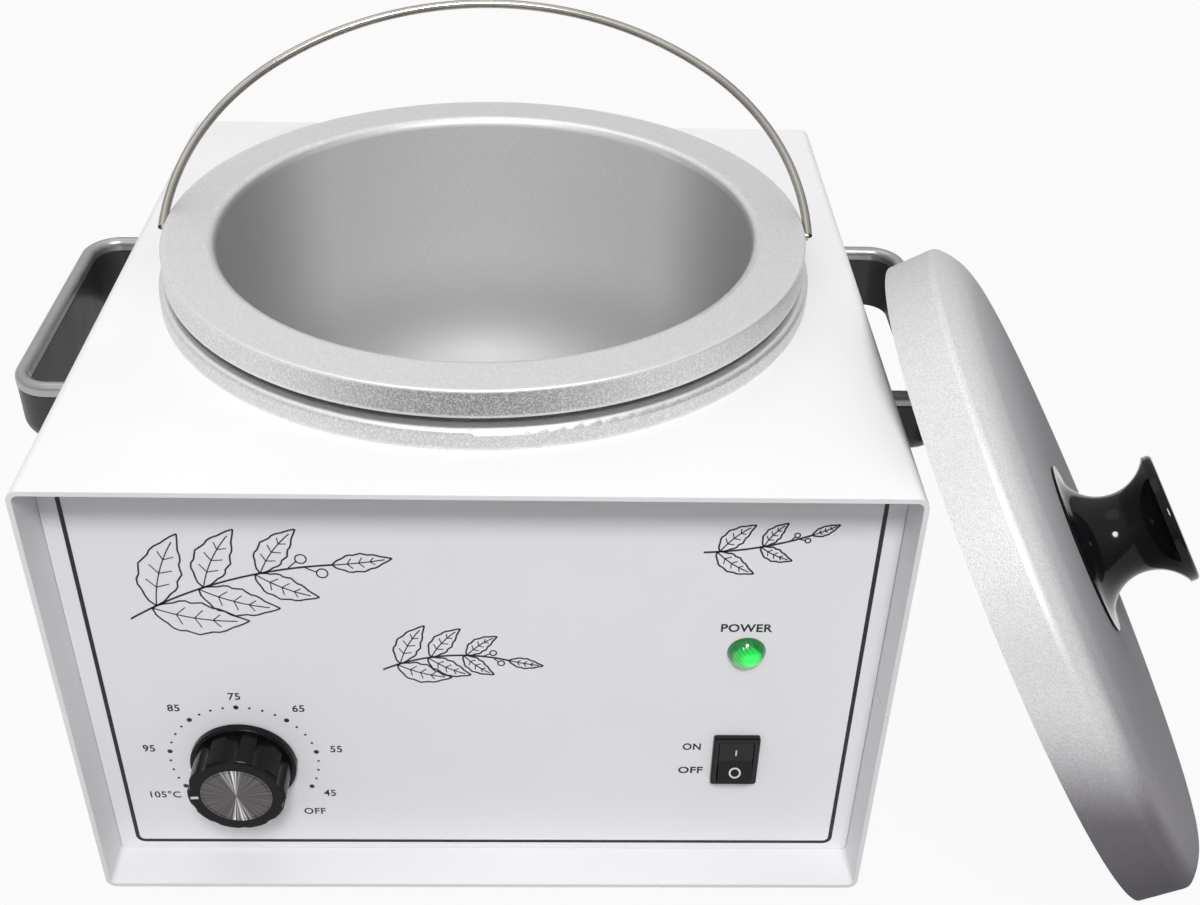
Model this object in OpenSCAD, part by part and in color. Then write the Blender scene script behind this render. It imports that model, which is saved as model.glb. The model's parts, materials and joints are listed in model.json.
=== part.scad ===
// Candle wax melter: a folded sheet housing with a heated well, a lift-out pot with a
// wire bail, and a loose lid that leans against the housing's right side.
// Millimetres, +Z up, the front towards -Y. The origin is on the floor, under the
// middle of the housing.

/* [Housing] */
// Width of the sheet housing
body_w = 250; // [240:1:280]
// Depth of the sheet housing, front lip to rear edge
body_d = 256; // [248:1:290]
// Height of the sheet housing without its feet
body_h = 162; // [158:1:185]
// Thickness of the housing sheet
sheet_t = 1.5; // [1:0.1:2]
// Outer radius of the folded edges
bend_r = 3.5; // [2.5:0.1:6]
// How far the front panel sits behind the front lip
recess = 15.5; // [10:0.5:18]
// How far the rear panel sits in front of the rear edge
rear_recess = 2; // [1:0.5:6]
// Height of the seam between cover and tray above the housing's underside
seam_h = 79.5; // [60:0.5:90]
// Gap left open at the seam
seam_gap = 0.5; // [0.3:0.1:1]
// Depth of the folded flange round the front and rear panels
flange_d = 12; // [8:0.5:14]
// Clearance of a panel inside the housing
panel_fit = 0.15; // [0.1:0.05:0.5]
// Height of the rubber feet
foot_h = 8; // [5:0.5:14]
// Distance of each foot's centre from the housing's side edges
foot_inset = 26; // [18:1:36]

/* [Well] */
// Sideways offset of the well from the housing's middle
well_x = -0.9; // [-3:0.1:3]
// Fore-and-aft offset of the well from the housing's middle
well_y = 1; // [-3:0.1:3]
// Inner radius of the heated well
well_r = 93; // [93:0.5:94]
// Wall of the heated well
well_t = 2; // [1.5:0.1:2.5]
// Outer radius of the well's collar on top of the housing
collar_r = 107.5; // [104:0.5:112]
// Height of the collar above the housing's top
collar_h = 6.7; // [4:0.1:10]
// Thickness of the mica band heater round the well
band_t = 3; // [2:0.5:4]
// Height of the mica band heater
band_h = 52; // [30:1:60]
// Thickness of the glass wool round the heater
wool_t = 5; // [3:0.5:6]
// Thickness of the insulating pad under the well
pad_t = 15; // [10:1:18]

/* [Pot] */
// Outer radius of the pot's rim
rim_r = 105.5; // [102:0.5:108]
// Inner radius of the pot
pot_r = 88; // [80:0.5:88.5]
// Wall of the pot
pot_t = 2.5; // [2:0.1:3]
// Base thickness of the pot
pot_base_t = 3; // [2:0.1:4]
// Depth of the pot inside, rim top to floor
pot_depth = 110; // [90:1:114]
// Radius of the curve between the pot's wall and its floor
pot_corner_r = 35; // [15:1:45]
// Height of the rim's top above the housing's top
rim_above = 18.5; // [16:0.5:24]
// Height of the skirt that hangs from the rim
rim_skirt_h = 9; // [7.8:0.1:9]
// Thickness of the rim's plate and skirt
rim_t = 3; // [2:0.1:3.5]
// Radius of the soft lip between the rim and the bowl
lip_r = 3; // [1.5:0.1:4]
// Gap between the pot's base and the floor of the well it stands on
rest_gap = 0.3; // [0.2:0.1:0.6]

/* [Bail] */
// Diameter of the bail wire
wire_d = 3; // [2.5:0.1:3.5]
// Rise of the bail above its pivots
bail_rise = 95.5; // [85:0.5:105]
// How far the bail leans back from upright in the photographed pose
bail_lean = 59; // [0:1:75]
// Depth of the pivots under the rim's top
pivot_drop = 3.8; // [3.6:0.1:4.2]
// Radial running clearance of the wire in its hole
pivot_fit = 0.06; // [0.02:0.01:0.1]

/* [Lid] */
// Outer radius of the lid
lid_r = 110.7; // [109:0.1:116]
// Height of the lid without its knob
lid_h = 22.5; // [18:0.5:30]
// Radius of the lid's corner between its skirt and its shoulder
lid_edge_r = 3; // [2.5:0.1:5]
// Radius of the lid's shoulder
lid_shoulder_r = 22.6; // [18:0.1:28]
// Width of the lid's shoulder, flat top to skirt
lid_shoulder_w = 16.7; // [12:0.1:17]
// Wall of the lid
lid_t = 1.5; // [1:0.1:2]
// Angle of the leaning lid's axis above level
lid_tilt = 30.8; // [25:0.1:40]
// Turn of the leaning lid's axis towards the front
lid_turn = -5; // [-8:0.1:0]
// Place of the leaning lid's centre, fore and aft of the housing's middle
lid_y = -66.2; // [-75:0.1:-55]
// Gap between the leaning lid and what it leans on
lean_gap = 0.2; // [0.1:0.05:0.6]

/* [Lid knob] */
// Radius of the lid knob's foot flange
grip_foot_r = 29; // [24:0.5:32]
// Radius of the lid knob's neck
grip_neck_r = 13.8; // [10:0.1:16]
// Radius of the lid knob's head
grip_head_r = 21.5; // [19:0.5:24]
// Height of the lid knob
grip_h = 30; // [26:1:36]
// Height of the narrowest part of the neck
grip_neck_h = 14.5; // [11:0.5:15]

/* [Side handles] */
// Length of a side handle, front to back
handle_len = 107; // [95:1:120]
// How far a side handle stands out
handle_out = 27.5; // [24:0.5:34]
// Height of a side handle
handle_h = 24; // [16:0.5:26]
// Width of the silver bead along the handle's top
bead_w = 4.6; // [4:0.1:6]
// Height of the silver bead
bead_h = 4; // [3.5:0.5:5.5]
// Outer corner radius of the handle
handle_corner_r = 13; // [9:0.5:16]
// Distance from the housing's top down to the handle's top
handle_drop = 16.8; // [14:0.1:30]

/* [Controls] */
// Distance of the dial's axis left of the middle
dial_x = 77.2; // [70:0.1:80]
// Height of the dial's axis above the housing's underside
dial_h = 43.7; // [38:0.1:46]
// Radius of the thermostat knob
knob_r = 15.5; // [13:0.1:18]
// Radius of the knob's skirt
knob_skirt_r = 17; // [14.5:0.1:20]
// How far the knob stands out of the front panel
knob_h = 15.5; // [13:0.5:18]
// Number of flutes round the knob
flutes = 10; // [8:1:14]
// Angle of the knob's pointer, counted anticlockwise from level right
pointer_angle = 183; // [0:1:360]
// Diameter of the thermostat's shaft
shaft_d = 6; // [5:0.5:6.5]
// Distance of switch and lamp right of the middle
switch_x = 81.8; // [76:0.1:90]
// Height of the switch's middle above the housing's underside
switch_h = 45.8; // [40:0.1:60]
// Width of the switch's bezel
bezel_w = 15; // [14:0.1:17]
// Height of the switch's bezel
bezel_h = 21; // [20:0.1:24]
// Rocker tilt to either side of its middle position
rocker_tilt = 9; // [6:0.5:10]
// Height of the lamp above the housing's underside
lamp_h = 92; // [84:0.1:110]
// Radius of the lamp's lens
lens_r = 6; // [5.5:0.1:8]
// How far the lens stands out
lens_out = 4.2; // [3:0.1:5.5]

/* [Hidden] */
$fn = 64;
eps = 0.01;

// Heights and planes that several pieces share
bottom_z = foot_h;
floor_z = bottom_z + sheet_t;
top_z = bottom_z + body_h;
seam_z = bottom_z + seam_h;
front_y = -body_d / 2 + recess;
front_back_y = front_y + sheet_t;
rear_y = body_d / 2 - rear_recess;
rear_inner_y = rear_y - sheet_t;
collar_top_z = top_z + collar_h;
rim_z = top_z + rim_above;
pot_floor_z = rim_z - pot_depth;
pot_base_z = pot_floor_z - pot_base_t;
well_floor_z = pot_base_z - rest_gap;
well_base_z = well_floor_z - well_t;
pad_base_z = well_base_z - pad_t;
band_r = well_r + well_t;
wool_r = band_r + band_t;
band_base_z = well_base_z + 18;
pivot_z = rim_z - pivot_drop;
dial_z = bottom_z + dial_h;
switch_z = bottom_z + switch_h;
lamp_z = bottom_z + lamp_h;
handle_z = top_z - handle_drop;
handle_y = (front_y + body_d / 2) / 2 - 2.5;

// Colours, as photographed
white = [0.93, 0.93, 0.95];
alu = [0.78, 0.78, 0.79];
steel = [0.66, 0.65, 0.62];
black = [0.04, 0.04, 0.045];
charcoal = [0.17, 0.17, 0.175];
green = [0.05, 0.75, 0.2];
wool = [0.85, 0.83, 0.76];
zinc = [0.72, 0.73, 0.75];
ceramic = [0.92, 0.9, 0.84];

// ---- helpers ----------------------------------------------------------------------

// Extrudes a drawing made in X and Z along Y, from y0 to y1
module along_y(y0, y1)
    translate([0, y1, 0]) rotate([90, 0, 0]) linear_extrude(y1 - y0) children();

// Extrudes a drawing made in Y and Z along X, from x0 to x1
module along_x(x0, x1)
    translate([x0, 0, 0]) rotate([90, 0, 90]) linear_extrude(x1 - x0) children();

// Stands a turned piece on the front panel: its +Z points out of the panel
module on_front(x, z) translate([x, front_y, z]) rotate([90, 0, 0]) children();

// Rectangle with round corners, its lower edge on the X axis
module round_rect(w, h, r) {
    translate([-w / 2 + r, 0]) square([w - 2 * r, h]);
    translate([-w / 2, r]) square([w, h - 2 * r]);
    for (x = [-w / 2 + r, w / 2 - r], y = [r, h - r]) translate([x, y]) circle(r);
}

// Half section of a bowl that is filled: a cylinder with a rounded lower edge
module bowl_half(r, z0, z1, corner) {
    translate([0, z0]) square([r - corner, z1 - z0]);
    translate([0, z0 + corner]) square([r, z1 - z0 - corner]);
    intersection() {
        translate([r - corner, z0 + corner]) circle(corner, $fn = 96);
        translate([0, z0]) square([r, z1 - z0]);
    }
}

// Slot with round ends, along X
module slot(len, r) {
    translate([-len / 2 + r, -r]) square([len - 2 * r, 2 * r]);
    for (s = [-1, 1]) translate([s * (len / 2 - r), 0]) circle(r);
}

// Pan-head screw: the head's seat on z = 0, the shank downwards
module pan_screw(r, len, head_r, head_h) {
    difference() {
        union() {
            cylinder(r = head_r, h = head_h * 0.6);
            translate([0, 0, head_h * 0.6]) cylinder(r1 = head_r, r2 = head_r * 0.7, h = head_h * 0.4);
        }
        for (a = [0, 90]) rotate(a)
            translate([-head_r * 0.55, -head_r * 0.11, head_h * 0.45])
                cube([head_r * 1.1, head_r * 0.22, head_h]);
    }
    translate([0, 0, -len]) cylinder(r = r, h = len + eps);
}

// Outline of the folded housing, seen from the front, shrunk by i
module housing_outline(i)
    translate([0, bottom_z + i]) round_rect(body_w - 2 * i, body_h - 2 * i, bend_r - i);

// ---- housing ----------------------------------------------------------------------

tab_w = 26;
tab_h = 15;
tab_y = body_d / 2 - 42;
cover_screw_z = seam_z + 8;
cover_screw_r = 1.6;
handle_screw_r = 2;
lug_t = 6;
lug_w = 13;
lug_y = handle_len / 2 - bead_w - lug_w / 2 + 1;
handle_screw_z = handle_z - bead_h - (handle_h - bead_h) / 2;
foot_x = body_w / 2 - foot_inset;
foot_y = body_d / 2 - recess - sheet_t - flange_d - 6;

module upper_cover() color(white) difference() {
    along_y(-body_d / 2, body_d / 2) difference() {
        intersection() {
            housing_outline(0);
            translate([-body_w, seam_z]) square([2 * body_w, body_h]);
        }
        housing_outline(sheet_t);
    }
    translate([well_x, well_y, top_z - 3 * sheet_t])
        cylinder(r = well_r + well_t + 0.5, h = 6 * sheet_t, $fn = 96);
    for (y = [-tab_y, tab_y]) translate([0, y, cover_screw_z]) rotate([0, 90, 0])
        cylinder(r = cover_screw_r + 0.3, h = 2 * body_w, center = true);
    for (y = [-lug_y, lug_y]) translate([0, handle_y + y, handle_screw_z]) rotate([0, 90, 0])
        cylinder(r = handle_screw_r + 0.2, h = 2 * body_w, center = true);
}

module base_tray() color(white) difference() {
    union() {
        along_y(-body_d / 2, body_d / 2) difference() {
            intersection() {
                housing_outline(0);
                translate([-body_w, 0]) square([2 * body_w, seam_z - seam_gap]);
            }
            housing_outline(sheet_t);
        }
        // tabs that carry the cover's sides
        for (s = [-1, 1], y = [-tab_y, tab_y])
            translate([s * (body_w / 2 - sheet_t * 1.5), y, seam_z])
                cube([sheet_t, tab_w, 2 * tab_h], center = true);
    }
    for (y = [-tab_y, tab_y]) translate([0, y, cover_screw_z]) rotate([0, 90, 0])
        cylinder(r = cover_screw_r, h = 2 * body_w, center = true);
    for (x = [-foot_x, foot_x], y = [-foot_y, foot_y])
        translate([x, y, bottom_z - 1]) cylinder(r = foot_screw_r + 0.1, h = sheet_t + 2);
    for (x = stand_hole_x, y = stand_hole_y)
        translate([x, y, bottom_z - 1]) cylinder(r = rivet_r, h = sheet_t + 2);
    for (x = rivet_x, y = [front_back_y, rear_inner_y - flange_d])
        translate([x, y + flange_d / 2, bottom_z - 1]) cylinder(r = rivet_r, h = sheet_t + 2);
    for (y = block_screw_y) translate([block_x, y, bottom_z - 1])
        cylinder(r = block_screw_r, h = sheet_t + 2);
    // air slots under the well
    for (s = [-1, 1], i = [-2:2])
        translate([s * 46, i * 10, bottom_z - 1]) linear_extrude(sheet_t + 2) slot(36, 2);
}

// A panel with a folded flange all round; it faces y0 and its flange runs towards dir
module pan(y0, dir) {
    y1 = y0 + dir * sheet_t;
    y2 = y1 + dir * flange_d;
    along_y(min(y0, y1), max(y0, y1)) housing_outline(sheet_t + panel_fit);
    along_y(min(y0, y2), max(y0, y2)) difference() {
        housing_outline(sheet_t + panel_fit);
        housing_outline(2 * sheet_t + panel_fit);
    }
}

module front_panel() color(white) difference() {
    pan(front_y, 1);
    on_front(-dial_x, dial_z) {
        translate([0, 0, -5]) cylinder(r = shaft_d / 2 + 1.3, h = 10);
        for (s = [-1, 1]) translate([s * thermo_screw_x, 0, -5]) cylinder(r = 2, h = 10);
        for (s = [-1, 1]) translate([s * thermo_screw_x, 0, -csk_h]) cylinder(r1 = 2, r2 = 2 + csk_h, h = csk_h + eps);
    }
    on_front(switch_x, lamp_z) translate([0, 0, -5]) cylinder(r = lamp_body_r + 0.1, h = 10);
    on_front(switch_x, switch_z)
        cube([switch_body_w + 0.2, switch_body_h + 0.2, 10], center = true);
    rivet_holes(front_back_y + flange_d / 2);
}

vent_rows = 7;
gland_x = -body_w / 2 + 45;
gland_z = bottom_z + 30;
gland_r = 6;

module rear_panel() color(white) difference() {
    pan(rear_y, -1);
    for (i = [0:vent_rows - 1], s = [-1, 1])
        translate([s * 42, rear_y + 5, top_z - 42 - i * 8]) rotate([90, 0, 0])
            linear_extrude(flange_d - 3) slot(60, 1.6);
    translate([gland_x, rear_y + 5, gland_z]) rotate([90, 0, 0]) cylinder(r = gland_r + 0.1, h = 10);
    rivet_holes(rear_inner_y - flange_d / 2);
}

module cover_screws() color(zinc)
    for (s = [-1, 1], y = [-tab_y, tab_y])
        translate([s * body_w / 2, y, cover_screw_z]) rotate([0, s * 90, 0])
            pan_screw(cover_screw_r, 8, 3.4, 2.2);

rivet_r = 2;
rivet_x = [-body_w / 2 + 44, 0, body_w / 2 - 44];

module rivet_holes(y)
    for (x = rivet_x) translate([x, y, bottom_z - 1]) cylinder(r = rivet_r, h = 3 * sheet_t + 2);

// Blind rivet through stack_t of sheet, its head under the tray
module rivet(stack_t) {
    translate([0, 0, -0.9]) cylinder(r1 = rivet_r * 1.4, r2 = rivet_r * 1.8, h = 0.9);
    cylinder(r = rivet_r, h = stack_t);
    translate([0, 0, stack_t]) cylinder(r1 = rivet_r * 1.6, r2 = rivet_r * 0.8, h = 1.6);
}

module panel_rivets() color(zinc)
    for (x = rivet_x, y = [front_back_y + flange_d / 2, rear_inner_y - flange_d / 2])
        translate([x, y, bottom_z]) rivet(2 * sheet_t + panel_fit);

module cord_gland() color(black)
    translate([gland_x, rear_y, gland_z]) rotate([-90, 0, 0]) difference() {
        union() {
            translate([0, 0, -sheet_t - 6]) cylinder(r = gland_r, h = sheet_t + 7);
            cylinder(r = gland_r + 2.4, h = 1.2);
            translate([0, 0, 1.2]) cylinder(r1 = gland_r + 2.4, r2 = gland_r + 1.2, h = 0.8);
            translate([0, 0, -sheet_t - 2]) cylinder(r1 = gland_r + 0.2, r2 = gland_r + 1, h = 2);
        }
        translate([0, 0, -20]) cylinder(r = gland_r - 2.4, h = 40);
    }

// ---- feet -------------------------------------------------------------------------

foot_r = 11;
foot_screw_r = 2;
foot_head_h = 2.4;
foot_seat_h = 3;

module foot(x, y) color(black) translate([x, y, 0]) difference() {
    union() {
        cylinder(r1 = foot_r - 2.2, r2 = foot_r - 1.6, h = 0.8);
        translate([0, 0, 0.8]) cylinder(r1 = foot_r - 1.6, r2 = foot_r, h = foot_h - 0.8);
    }
    translate([0, 0, -1]) cylinder(r = 4.6, h = foot_h - foot_seat_h + 1);
    translate([0, 0, -1]) cylinder(r = foot_screw_r + 0.1, h = foot_h + 2);
}
module foot_front_left() foot(-foot_x, -foot_y);
module foot_front_right() foot(foot_x, -foot_y);
module foot_rear_left() foot(-foot_x, foot_y);
module foot_rear_right() foot(foot_x, foot_y);

module foot_screws() color(zinc)
    for (x = [-foot_x, foot_x], y = [-foot_y, foot_y]) translate([x, y, 0]) {
        translate([0, 0, foot_h - foot_seat_h]) rotate([180, 0, 0])
            pan_screw(foot_screw_r, foot_seat_h + sheet_t + 5, 4.2, foot_head_h);
        translate([0, 0, floor_z]) cylinder(r = 4, h = 3.2, $fn = 6);
    }

// ---- heated well ------------------------------------------------------------------

module at_well() translate([well_x, well_y, 0]) children();

module collar_half(r, z0, z1, edge) {
    translate([0, z0]) square([r - edge, z1 - z0]);
    translate([0, z0]) square([r, z1 - z0 - edge]);
    translate([r - edge, z1 - edge]) circle(edge);
}

module heating_well() color(alu) at_well() rotate_extrude($fn = 128) difference() {
    union() {
        bowl_half(well_r + well_t, well_base_z, collar_top_z, 10);
        collar_half(collar_r, top_z, collar_top_z, 1.8);
    }
    bowl_half(well_r, well_floor_z, collar_top_z + 1, 8);
    translate([well_r + well_t, top_z - eps])
        square([collar_r - well_r - 2 * well_t, collar_h - well_t]);
}

ear_t = 2;
ear_out = 12;
ear_gap = 7;

module band_heater() color(steel) at_well() {
    difference() {
        translate([0, 0, band_base_z]) cylinder(r = band_r + band_t, h = band_h, $fn = 96);
        translate([0, 0, band_base_z - 1]) cylinder(r = band_r + 0.05, h = band_h + 2, $fn = 96);
        translate([-ear_gap / 2, 0, band_base_z - 1]) cube([ear_gap, 2 * band_r, band_h + 2]);
    }
    difference() {
        for (s = [-1, 1]) translate([s * (ear_gap + ear_t) / 2, band_r + band_t / 2 + ear_out / 2, band_base_z + band_h / 2])
            cube([ear_t, ear_out, band_h * 0.6], center = true);
        translate([0, bolt_y, band_base_z + band_h / 2]) rotate([0, 90, 0])
            cylinder(r = 2.1, h = 40, center = true);
    }
}

bolt_y = band_r + band_t + ear_out - 5;

module band_bolt() color(zinc) at_well() translate([ear_gap / 2 + ear_t, bolt_y, band_base_z + band_h / 2]) {
    rotate([0, 90, 0]) pan_screw(2, ear_gap + 2 * ear_t + 5, 3.8, 2.6);
    translate([-ear_gap - 2 * ear_t - 3.2, 0, 0]) rotate([0, 90, 0]) cylinder(r = 4, h = 3.2, $fn = 6);
}

wool_gap = 0.4;
wool_base_z = well_base_z + 12;
wool_top_z = top_z - sheet_t - 8;

module wool_wrap() color(wool) at_well() difference() {
    translate([0, 0, wool_base_z]) cylinder(r = wool_r + wool_t, h = wool_top_z - wool_base_z, $fn = 96);
    translate([0, 0, wool_base_z - 1]) cylinder(r = wool_r + 0.05, h = top_z, $fn = 96);
    // room for the band's ears and bolt
    translate([-14, 0, wool_base_z - 1]) cube([28, 2 * wool_r, top_z]);
    // pressed flat where a panel comes close
    for (y = [front_back_y - well_y - body_d + wool_gap, rear_inner_y - well_y - wool_gap])
        translate([-body_w, y, wool_base_z - 1]) cube([2 * body_w, body_d, top_z]);
}

thermo_d = 22;
plate_t = 1.5;
thermo_back_y = front_back_y + plate_t + thermo_d;
bulb_r = 3;
bulb_x = -30;
bulb_y0 = thermo_back_y + 13.5;
bulb_len = 50;
bulb_z = well_base_z - bulb_r - 0.1;
cutout_r = 9;

pad_r = well_r - 9;
tube_r = 0.8;
tube_back = 9;
tube_gap = 0.3;

// The slot in front keeps clear of the capillary tube where the housing is shallower.
module wool_pad() color(wool) at_well() difference() {
    translate([0, 0, pad_base_z]) cylinder(r = pad_r, h = pad_t, $fn = 96);
    translate([0, 0, pad_base_z - 1]) cylinder(r = cutout_r + 1, h = pad_t + 2);
    translate([bulb_x - well_x - bulb_r - 0.2, -pad_r - 6, bulb_z - bulb_r - 0.2])
        cube([2 * bulb_r + 0.4, bulb_len + pad_r + 6 + bulb_y0 + 1 - well_y, pad_t]);
    translate([-dial_x - well_x, bulb_y0 - tube_back + 2 + tube_r + tube_gap - well_y - pad_r, pad_base_z - 1])
        cube([dial_x + bulb_x + tube_r + tube_gap, pad_r, pad_t + 2]);
}

stand_w = 150;
stand_d = 64;
stand_foot = 16;
stand_hole_x = [-stand_w / 2 - stand_foot / 2, stand_w / 2 + stand_foot / 2];
stand_hole_y = [-stand_d / 2 + 12, stand_d / 2 - 12];

module well_stand() color(zinc) difference() {
    along_y(-stand_d / 2, stand_d / 2) {
        translate([-stand_w / 2, pad_base_z - sheet_t]) square([stand_w, sheet_t]);
        for (s = [-1, 1]) {
            translate([s * (stand_w - sheet_t) / 2 - sheet_t / 2, floor_z])
                square([sheet_t, pad_base_z - floor_z]);
            translate([s * (stand_w + stand_foot) / 2 - stand_foot / 2 - sheet_t / 2 * s, floor_z])
                square([stand_foot, sheet_t]);
        }
    }
    translate([well_x, well_y, pad_base_z - 2 * sheet_t]) cylinder(r = cutout_r + 1, h = 3 * sheet_t);
    for (x = stand_hole_x, y = stand_hole_y)
        translate([x, y, floor_z - 1]) cylinder(r = rivet_r, h = sheet_t + 2);
}

module stand_rivets() color(zinc)
    for (x = stand_hole_x, y = stand_hole_y) translate([x, y, bottom_z]) rivet(2 * sheet_t);

module thermal_cutout() color(steel) at_well() {
    translate([0, 0, well_base_z - 6]) cylinder(r = cutout_r, h = 5.9);
    translate([0, 0, well_base_z - 9]) cylinder(r = cutout_r - 2.5, h = 4);
    for (s = [-1, 1]) translate([s * 4, 0, well_base_z - 13]) cube([0.8, 6.3, 10], center = true);
}

// ---- thermostat -------------------------------------------------------------------

thermo_w = 34;
thermo_screw_x = 14;
csk_h = 1.2;
shaft_fit = 0.05;

module thermostat_body() color(steel) on_front(-dial_x, dial_z) difference() {
    union() {
        translate([0, 0, -sheet_t - plate_t / 2]) cube([thermo_w + 4, 18, plate_t], center = true);
        translate([-thermo_w / 2, -thermo_w / 2, -sheet_t - plate_t - thermo_d]) cube([thermo_w, thermo_w, thermo_d]);
        translate([0, 0, -sheet_t - plate_t]) cylinder(r = shaft_d / 2 + 1.2, h = sheet_t + plate_t);
        for (i = [-1, 1]) translate([i * 10, -6, -sheet_t - plate_t - thermo_d - 3.9])
            cube([0.8, 6.3, 8], center = true);
    }
    translate([0, 0, -sheet_t - plate_t - 8]) cylinder(r = shaft_d / 2 + shaft_fit, h = 30);
    for (s = [-1, 1]) translate([s * thermo_screw_x, 0, -sheet_t - 6]) cylinder(r = 1.7, h = 10);
}

module thermostat_shaft() color(zinc) on_front(-dial_x, dial_z) difference() {
    translate([0, 0, -sheet_t - plate_t - 7]) cylinder(r = shaft_d / 2, h = sheet_t + plate_t + 7 + knob_h - 4);
    // flat on the end that the knob grips
    rotate(pointer_angle) translate([shaft_d / 2 - 1.2, -10, 3]) cube([10, 20, 20]);
}

module thermostat_screws() color(zinc) on_front(-dial_x, dial_z)
    for (s = [-1, 1]) translate([s * thermo_screw_x, 0, 0]) difference() {
        union() {
            translate([0, 0, -csk_h]) cylinder(r1 = 1.6, r2 = 1.6 + csk_h, h = csk_h);
            translate([0, 0, -sheet_t - 5.5]) cylinder(r = 1.6, h = sheet_t + 5.5 - csk_h + eps);
        }
        translate([0, 0, 0]) cube([4, 0.7, 1.2], center = true);
    }

// Straight tube between two points
module tube_leg(a, b, r) {
    d = b - a;
    len = norm(d);
    translate(a) rotate([0, acos(d.z / len), atan2(d.y, d.x)]) cylinder(r = r, h = len);
}

tube_z = dial_z + 10;
tube = [[bulb_x, bulb_y0 + 1, bulb_z], [bulb_x, bulb_y0 - tube_back, bulb_z], [bulb_x, bulb_y0 - tube_back, tube_z],
    [-dial_x, bulb_y0 - tube_back + 2, tube_z], [-dial_x, thermo_back_y, tube_z]];

module sensor_bulb() color([0.72, 0.45, 0.3]) {
    translate([bulb_x, bulb_y0, bulb_z]) rotate([-90, 0, 0]) cylinder(r = bulb_r, h = bulb_len);
    for (i = [0:len(tube) - 2]) tube_leg(tube[i], tube[i + 1], tube_r);
    for (i = [1:len(tube) - 2]) translate(tube[i]) sphere(tube_r, $fn = 24);
}

// ---- terminal block ---------------------------------------------------------------

block_x = body_w / 2 - 18;
block_y = body_d / 2 - 70;
block_w = 20;
block_l = 34;
block_h = 15;
block_screw_r = 1.6;
block_screw_y = [block_y - block_l / 2 - 4, block_y + block_l / 2 + 4];

module terminal_block() color(ceramic) difference() {
    union() {
        translate([block_x - block_w / 2, block_y - block_l / 2, floor_z]) cube([block_w, block_l, block_h]);
        translate([block_x - 5, block_y - block_l / 2 - 8, floor_z]) cube([10, block_l + 16, 4]);
    }
    for (i = [-1:1]) {
        translate([block_x, block_y + i * 10.5, floor_z + 8]) rotate([0, 90, 0])
            cylinder(r = 2.4, h = block_w + 2, center = true);
        for (s = [-1, 1]) translate([block_x + s * 5, block_y + i * 10.5, floor_z + 8]) cylinder(r = 2, h = 20);
    }
    for (y = block_screw_y) translate([block_x, y, floor_z - 1]) cylinder(r = block_screw_r + 0.2, h = 10);
}

module terminal_screws() color(zinc) {
    for (y = block_screw_y) translate([block_x, y, floor_z + 4])
        pan_screw(block_screw_r, 4 + sheet_t + 1.5, 3.2, 2);
    for (i = [-1:1], s = [-1, 1]) translate([block_x + s * 5, block_y + i * 10.5, floor_z + 8 + 5.5])
        pan_screw(1.4, 6, 1.95, 1);
}

// ---- dial knob --------------------------------------------------------------------

skirt_h = 2.6;
skirt_gap = 0.6;
disc_r = 11.4;
disc_sink = 0.7;

// Outline of the fluted grip
module grip_outline() difference() {
    circle(knob_r, $fn = 96);
    for (i = [0:flutes - 1]) rotate(pointer_angle + (i + 0.5) * 360 / flutes)
        translate([knob_r + 2.9, 0]) circle(3.9);
}

module thermostat_knob() color(black) on_front(-dial_x, dial_z) difference() {
    union() {
        translate([0, 0, skirt_gap]) rotate_extrude($fn = 96) {
            square([knob_skirt_r - 0.8, skirt_h]);
            square([knob_skirt_r, skirt_h - 0.8]);
            translate([knob_skirt_r - 0.8, skirt_h - 0.8]) circle(0.8);
        }
        intersection() {
            translate([0, 0, skirt_gap]) linear_extrude(knob_h - skirt_gap) grip_outline();
            // rounded and slightly tapered grip
            rotate_extrude($fn = 96) {
                polygon([[0, 0], [knob_r + 1, 0], [knob_r + 0.1, knob_h - 1.2], [knob_r - 1.1, knob_h], [0, knob_h]]);
                translate([knob_r - 1.1, knob_h - 1.2]) circle(1.2);
            }
        }
    }
    translate([0, 0, -1]) cylinder(r = shaft_d / 2, h = knob_h - 3);
    translate([0, 0, knob_h - disc_sink]) cylinder(r = disc_r, h = 5);
    // hollow back round the shaft's boss
    difference() {
        translate([0, 0, -1]) cylinder(r = knob_r - 4, h = 1 + skirt_gap + 7);
        translate([0, 0, -1]) cylinder(r = shaft_d / 2 + 2.5, h = 30);
    }
}

module knob_disc() color(steel) on_front(-dial_x, dial_z)
    translate([0, 0, knob_h - disc_sink]) difference() {
        cylinder(r = disc_r - 0.1, h = disc_sink - 0.1);
        // turned ring near the edge
        translate([0, 0, disc_sink - 0.25]) difference() {
            cylinder(r = disc_r - 0.7, h = 1);
            translate([0, 0, -1]) cylinder(r = disc_r - 0.95, h = 3);
        }
    }

// ---- switch -----------------------------------------------------------------------

switch_body_w = bezel_w - 2;
switch_body_h = bezel_h - 1.8;
switch_depth = 19;
bezel_out = 2;
well_open_w = bezel_w - 3.4;
well_open_h = bezel_h - 3;
rocker_w = well_open_w - 0.6;
rocker_half = well_open_h / 2 - 0.9;
rocker_pivot = -1;
pocket = 4.6;

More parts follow.
